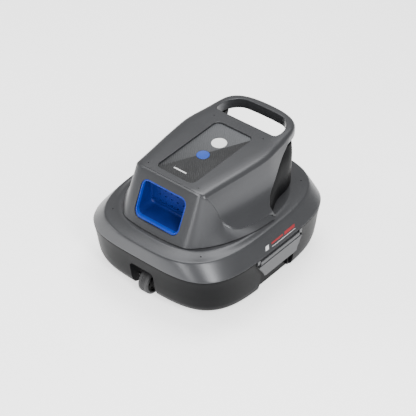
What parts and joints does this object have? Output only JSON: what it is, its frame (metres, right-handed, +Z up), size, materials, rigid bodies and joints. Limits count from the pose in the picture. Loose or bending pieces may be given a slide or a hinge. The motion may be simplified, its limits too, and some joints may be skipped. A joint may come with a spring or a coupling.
{
  "type": "pool cleaner",
  "caption": "Cordless floor-crawling pool cleaner: domed housing with carry handle and jet outlet, latched onto a wheeled debris tray.",
  "frame": {"origin": "on the ground at the centre of the footprint", "axes": "+X to the right, +Y to the rear, where the handle is, +Z up; the outlet faces -Y"},
  "size_m": [0.3444, 0.381, 0.2342],
  "materials": {
    "shell_grey": "satin",
    "base_plastic": "fine matt",
    "black_plastic": "matt",
    "blue_plastic": "satin",
    "panel_black": "ribbed, glossy",
    "white_lens": "frosted",
    "tyre_rubber": "moulded",
    "seal_rubber": "soft",
    "steel": "bright",
    "motor_can": "drawn",
    "nylon": "natural",
    "board_green": "solder mask",
    "cell_wrap": "shrink film",
    "screen_mesh": "fine woven"
  },
  "bodies": {
    "base": {"base_tray": "base_plastic", "front_guide_axle": "steel", "rear_guide_axle": "steel", "drive_motor_left": "black_plastic", "drive_motor_right": "black_plastic"},
    "front_guide": {"front_guide_wheel": "base_plastic", "front_guide_tyre": "tyre_rubber"},
    "rear_guide": {"rear_guide_wheel": "base_plastic", "rear_guide_tyre": "tyre_rubber"},
    "drive_left": {"drive_wheel_left": "base_plastic", "drive_tyre_left": "tyre_rubber", "drive_gear_left": "nylon", "drive_axle_left": "steel"},
    "drive_right": {"drive_wheel_right": "base_plastic", "drive_tyre_right": "tyre_rubber", "drive_gear_right": "nylon", "drive_axle_right": "steel"},
    "pinion_left": {"drive_pinion_left": "steel"},
    "pinion_right": {"drive_pinion_right": "steel"},
    "upper": {"deck_housing": "shell_grey", "front_fascia": "shell_grey", "top_cover": "shell_grey", "rear_panel": "base_plastic", "outlet_duct": "blue_plastic", "panel_lens": "panel_black", "status_light": "white_lens", "button_spring": "steel", "latch_pin_left": "steel", "latch_pin_right": "steel", "power_case": "black_plastic", "case_lid": "black_plastic", "case_gasket": "seal_rubber", "lid_screw_1": "steel", "lid_screw_2": "steel", "lid_screw_3": "steel", "lid_screw_4": "steel", "battery_pack_left": "cell_wrap", "battery_pack_right": "cell_wrap", "control_board": "board_green", "pump_motor": "motor_can", "impeller_shroud": "black_plastic", "shaft_seal": "seal_rubber", "charge_port": "black_plastic", "charge_cap_pin": "steel"},
    "button": {"power_button": "blue_plastic"},
    "latch_left": {"latch_left": "shell_grey"},
    "latch_right": {"latch_right": "shell_grey"},
    "impeller": {"impeller": "nylon", "pump_shaft": "steel"},
    "charge_cap": {"charge_cap": "seal_rubber"},
    "basket": {"filter_basket": "black_plastic", "filter_mesh": "screen_mesh", "filter_screen": "screen_mesh", "flap_pin_front": "steel", "flap_pin_rear": "steel"},
    "flap_front": {"intake_flap_front": "seal_rubber"},
    "flap_rear": {"intake_flap_rear": "seal_rubber"}
  },
  "joints": [
    {"name": "upper_lift", "type": "slide", "parent": "base", "child": "upper", "axis": [0, 0, 1], "range_m": [0, 0.12]},
    {"name": "latch_left_hinge", "type": "hinge", "parent": "upper", "child": "latch_left", "pos_m": [-0.165, 0, 0.0887], "axis": [0, 1, 0], "range_deg": [0, 50]},
    {"name": "latch_right_hinge", "type": "hinge", "parent": "upper", "child": "latch_right", "pos_m": [0.165, 0, 0.0887], "axis": [0, -1, 0], "range_deg": [0, 50]},
    {"name": "power_button_press", "type": "slide", "parent": "upper", "child": "button", "axis": [0, 0.031, -0.9995], "range_m": [0, 0.0015], "stiffness_N_per_m": 1200, "springref_m": -0.0008, "deforming": ["button_spring"]},
    {"name": "charge_cap_hinge", "type": "hinge", "parent": "upper", "child": "charge_cap", "pos_m": [0, 0.1366, 0.1606], "axis": [1, 0, 0], "range_deg": [0, 150]},
    {"name": "impeller_spin", "type": "hinge", "parent": "upper", "child": "impeller", "pos_m": [0, -0.0865, 0.172], "axis": [0, 1, 0], "continuous": true},
    {"name": "drive_left_spin", "type": "hinge", "parent": "base", "child": "drive_left", "pos_m": [-0.123, 0.025, 0.04], "axis": [1, 0, 0], "continuous": true},
    {"name": "drive_right_spin", "type": "hinge", "parent": "base", "child": "drive_right", "pos_m": [0.123, 0.025, 0.04], "axis": [1, 0, 0], "continuous": true},
    {"name": "pinion_left_spin", "type": "hinge", "parent": "base", "child": "pinion_left", "pos_m": [-0.10945, 0.06304, 0.05236], "axis": [1, 0, 0], "continuous": true},
    {"name": "pinion_right_spin", "type": "hinge", "parent": "base", "child": "pinion_right", "pos_m": [0.10945, 0.06304, 0.05236], "axis": [1, 0, 0], "continuous": true},
    {"name": "front_guide_spin", "type": "hinge", "parent": "base", "child": "front_guide", "pos_m": [0, -0.16, 0.025], "axis": [1, 0, 0], "continuous": true},
    {"name": "rear_guide_spin", "type": "hinge", "parent": "base", "child": "rear_guide", "pos_m": [0, 0.16, 0.025], "axis": [1, 0, 0], "continuous": true},
    {"name": "basket_lift", "type": "slide", "parent": "base", "child": "basket", "axis": [0, 0, 1], "range_m": [0, 0.022]},
    {"name": "flap_front_hinge", "type": "hinge", "parent": "basket", "child": "flap_front", "pos_m": [0, -0.06825, 0.0189], "axis": [-1, 0, 0], "range_deg": [0, 70]},
    {"name": "flap_rear_hinge", "type": "hinge", "parent": "basket", "child": "flap_rear", "pos_m": [0, -0.00625, 0.0189], "axis": [1, 0, 0], "range_deg": [0, 70]}
  ],
  "couplings": [
    {"joint": "pinion_left_spin", "follows": "drive_left_spin", "ratio": -3},
    {"joint": "pinion_right_spin", "follows": "drive_right_spin", "ratio": -3}
  ]
}
